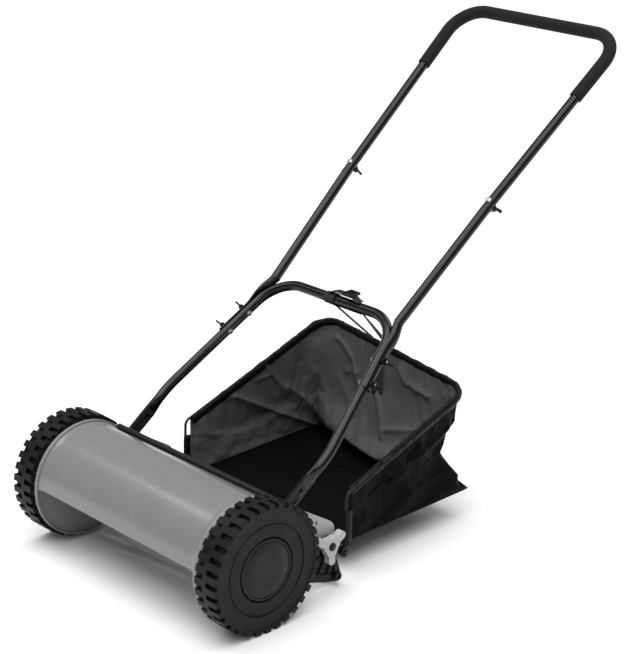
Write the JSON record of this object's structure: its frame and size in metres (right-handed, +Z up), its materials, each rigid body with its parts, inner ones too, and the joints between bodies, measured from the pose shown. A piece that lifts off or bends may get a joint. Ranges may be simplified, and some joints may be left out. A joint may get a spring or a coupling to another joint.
{
  "type": "cylinder lawn mower",
  "caption": "Push-along cylinder lawn mower: geared side wheels drive a helical blade reel under a curved cowl, with a tubular handle, rear roller and hanging fabric grass bag.",
  "frame": {"origin": "on the ground under the middle of the overall box", "axes": "+X from the left wheel to the right wheel, +Y from the cutting reel back to the handle grip, +Z up"},
  "size_m": [0.56, 1.0785, 0.8624],
  "materials": {
    "cowl_paint": "glossy light grey",
    "plate_paint": "glossy light grey",
    "black_tube": "glossy black",
    "black_steel": "satin black",
    "reel_paint": "satin dark grey",
    "blade_steel": "ground",
    "zinc": "bright zinc",
    "bronze": "sintered",
    "wheel_plastic": "dark grey satin",
    "tread_plastic": "dark grey satin",
    "cap_plastic": "dark grey satin",
    "gear_plastic": "black nylon",
    "black_plastic": "satin black",
    "roller_plastic": "satin black",
    "knob_plastic": "light grey",
    "foam": "closed-cell foam",
    "bag_fabric": "woven black",
    "webbing": "woven black"
  },
  "bodies": {
    "chassis": {"axle_rings": "zinc", "bag_hangers": "black_steel", "bag_strap": "webbing", "bed_bar": "black_steel", "bed_knife": "blade_steel", "bed_knife_screws": "zinc", "bracket_pins": "zinc", "clamp_studs": "zinc", "cowl": "cowl_paint", "cowl_screws": "zinc", "foam_grip": "foam", "foot_bolts": "zinc", "foot_spacers": "zinc", "joint_bolts": "zinc", "leg_bolts": "zinc", "lower_handle": "black_tube", "middle_handle_left": "black_tube", "middle_handle_right": "black_tube", "rear_bar": "black_steel", "reel_bearings": "bronze", "side_plate_left": "plate_paint", "side_plate_right": "plate_paint", "strap_buckle": "black_plastic", "stub_axles": "zinc", "upper_handle": "black_tube"},
    "wheel_left": {"wheel_left": "wheel_plastic", "tread_left": "tread_plastic", "ring_gear_left": "gear_plastic", "hub_cap_left": "cap_plastic"},
    "wheel_right": {"wheel_right": "wheel_plastic", "tread_right": "tread_plastic", "ring_gear_right": "gear_plastic", "hub_cap_right": "cap_plastic"},
    "pinion_left": {"pinion_left": "gear_plastic"},
    "pinion_right": {"pinion_right": "gear_plastic"},
    "reel": {"reel_shaft": "reel_paint", "reel_spiders": "reel_paint", "reel_blade_1": "blade_steel", "reel_blade_2": "blade_steel", "reel_blade_3": "blade_steel", "reel_blade_4": "blade_steel", "reel_blade_5": "blade_steel"},
    "height_frame": {"height_bracket_left": "black_plastic", "height_bracket_right": "black_plastic", "roller_rod": "zinc", "rod_caps": "black_plastic"},
    "roller": {"rear_roller": "roller_plastic"},
    "knob_left": {"star_knob_left": "knob_plastic", "knob_cap_left": "black_plastic"},
    "knob_right": {"star_knob_right": "knob_plastic", "knob_cap_right": "black_plastic"},
    "joint_nut_left": {"joint_nut_left": "black_plastic"},
    "joint_nut_right": {"joint_nut_right": "black_plastic"},
    "leg_nut_1_left": {"leg_nut_1_left": "black_plastic"},
    "leg_nut_1_right": {"leg_nut_1_right": "black_plastic"},
    "leg_nut_2_left": {"leg_nut_2_left": "black_plastic"},
    "leg_nut_2_right": {"leg_nut_2_right": "black_plastic"},
    "bag": {"grass_bag": "bag_fabric", "bag_frame": "black_steel"}
  },
  "joints": [
    {"name": "wheel_left_spin", "type": "hinge", "parent": "chassis", "child": "wheel_left", "pos_m": [-0.255, -0.42411, 0.115], "axis": [1, 0, 0], "continuous": true},
    {"name": "wheel_right_spin", "type": "hinge", "parent": "chassis", "child": "wheel_right", "pos_m": [0.255, -0.42411, 0.115], "axis": [1, 0, 0], "continuous": true},
    {"name": "pinion_left_spin", "type": "hinge", "parent": "chassis", "child": "pinion_left", "pos_m": [-0.241, -0.39211, 0.091], "axis": [1, 0, 0], "continuous": true},
    {"name": "pinion_right_spin", "type": "hinge", "parent": "chassis", "child": "pinion_right", "pos_m": [0.241, -0.39211, 0.091], "axis": [1, 0, 0], "continuous": true},
    {"name": "reel_spin", "type": "hinge", "parent": "chassis", "child": "reel", "pos_m": [0, -0.39211, 0.091], "axis": [1, 0, 0], "continuous": true},
    {"name": "height_adjust", "type": "hinge", "parent": "chassis", "child": "height_frame", "pos_m": [0, -0.31211, 0.046], "axis": [1, 0, 0], "range_deg": [0, 8]},
    {"name": "roller_spin", "type": "hinge", "parent": "height_frame", "child": "roller", "pos_m": [0, -0.22611, 0.019], "axis": [1, 0, 0], "continuous": true},
    {"name": "knob_left_turn", "type": "hinge", "parent": "chassis", "child": "knob_left", "pos_m": [-0.241, -0.24911, 0.087], "axis": [1, 0, 0], "continuous": true},
    {"name": "knob_right_turn", "type": "hinge", "parent": "chassis", "child": "knob_right", "pos_m": [0.241, -0.24911, 0.087], "axis": [1, 0, 0], "continuous": true},
    {"name": "joint_nut_left_turn", "type": "hinge", "parent": "chassis", "child": "joint_nut_left", "pos_m": [-0.17929, 0.20675, 0.58591], "axis": [0, -0.6184, 0.7859], "continuous": true},
    {"name": "joint_nut_right_turn", "type": "hinge", "parent": "chassis", "child": "joint_nut_right", "pos_m": [0.17929, 0.20675, 0.58591], "axis": [0, -0.6184, 0.7859], "continuous": true},
    {"name": "leg_nut_1_left_turn", "type": "hinge", "parent": "chassis", "child": "leg_nut_1_left", "pos_m": [-0.19825, -0.10978, 0.3343], "axis": [-0.9777, 0.1665, 0.1282], "continuous": true},
    {"name": "leg_nut_1_right_turn", "type": "hinge", "parent": "chassis", "child": "leg_nut_1_right", "pos_m": [0.19825, -0.10978, 0.3343], "axis": [0.9777, 0.1665, 0.1282], "continuous": true},
    {"name": "leg_nut_2_left_turn", "type": "hinge", "parent": "chassis", "child": "leg_nut_2_left", "pos_m": [-0.18794, -0.07178, 0.36357], "axis": [-0.9777, 0.1665, 0.1282], "continuous": true},
    {"name": "leg_nut_2_right_turn", "type": "hinge", "parent": "chassis", "child": "leg_nut_2_right", "pos_m": [0.18794, -0.07178, 0.36357], "axis": [0.9777, 0.1665, 0.1282], "continuous": true},
    {"name": "bag_tilt", "type": "hinge", "parent": "chassis", "child": "bag", "pos_m": [0, -0.19411, 0.047], "axis": [1, 0, 0], "range_deg": [0, 12], "deforming": ["bag_strap"]}
  ],
  "couplings": [
    {"joint": "pinion_left_spin", "follows": "wheel_left_spin", "ratio": 4.3333},
    {"joint": "pinion_right_spin", "follows": "wheel_right_spin", "ratio": 4.3333},
    {"joint": "reel_spin", "follows": "wheel_right_spin", "ratio": 4.3333}
  ]
}
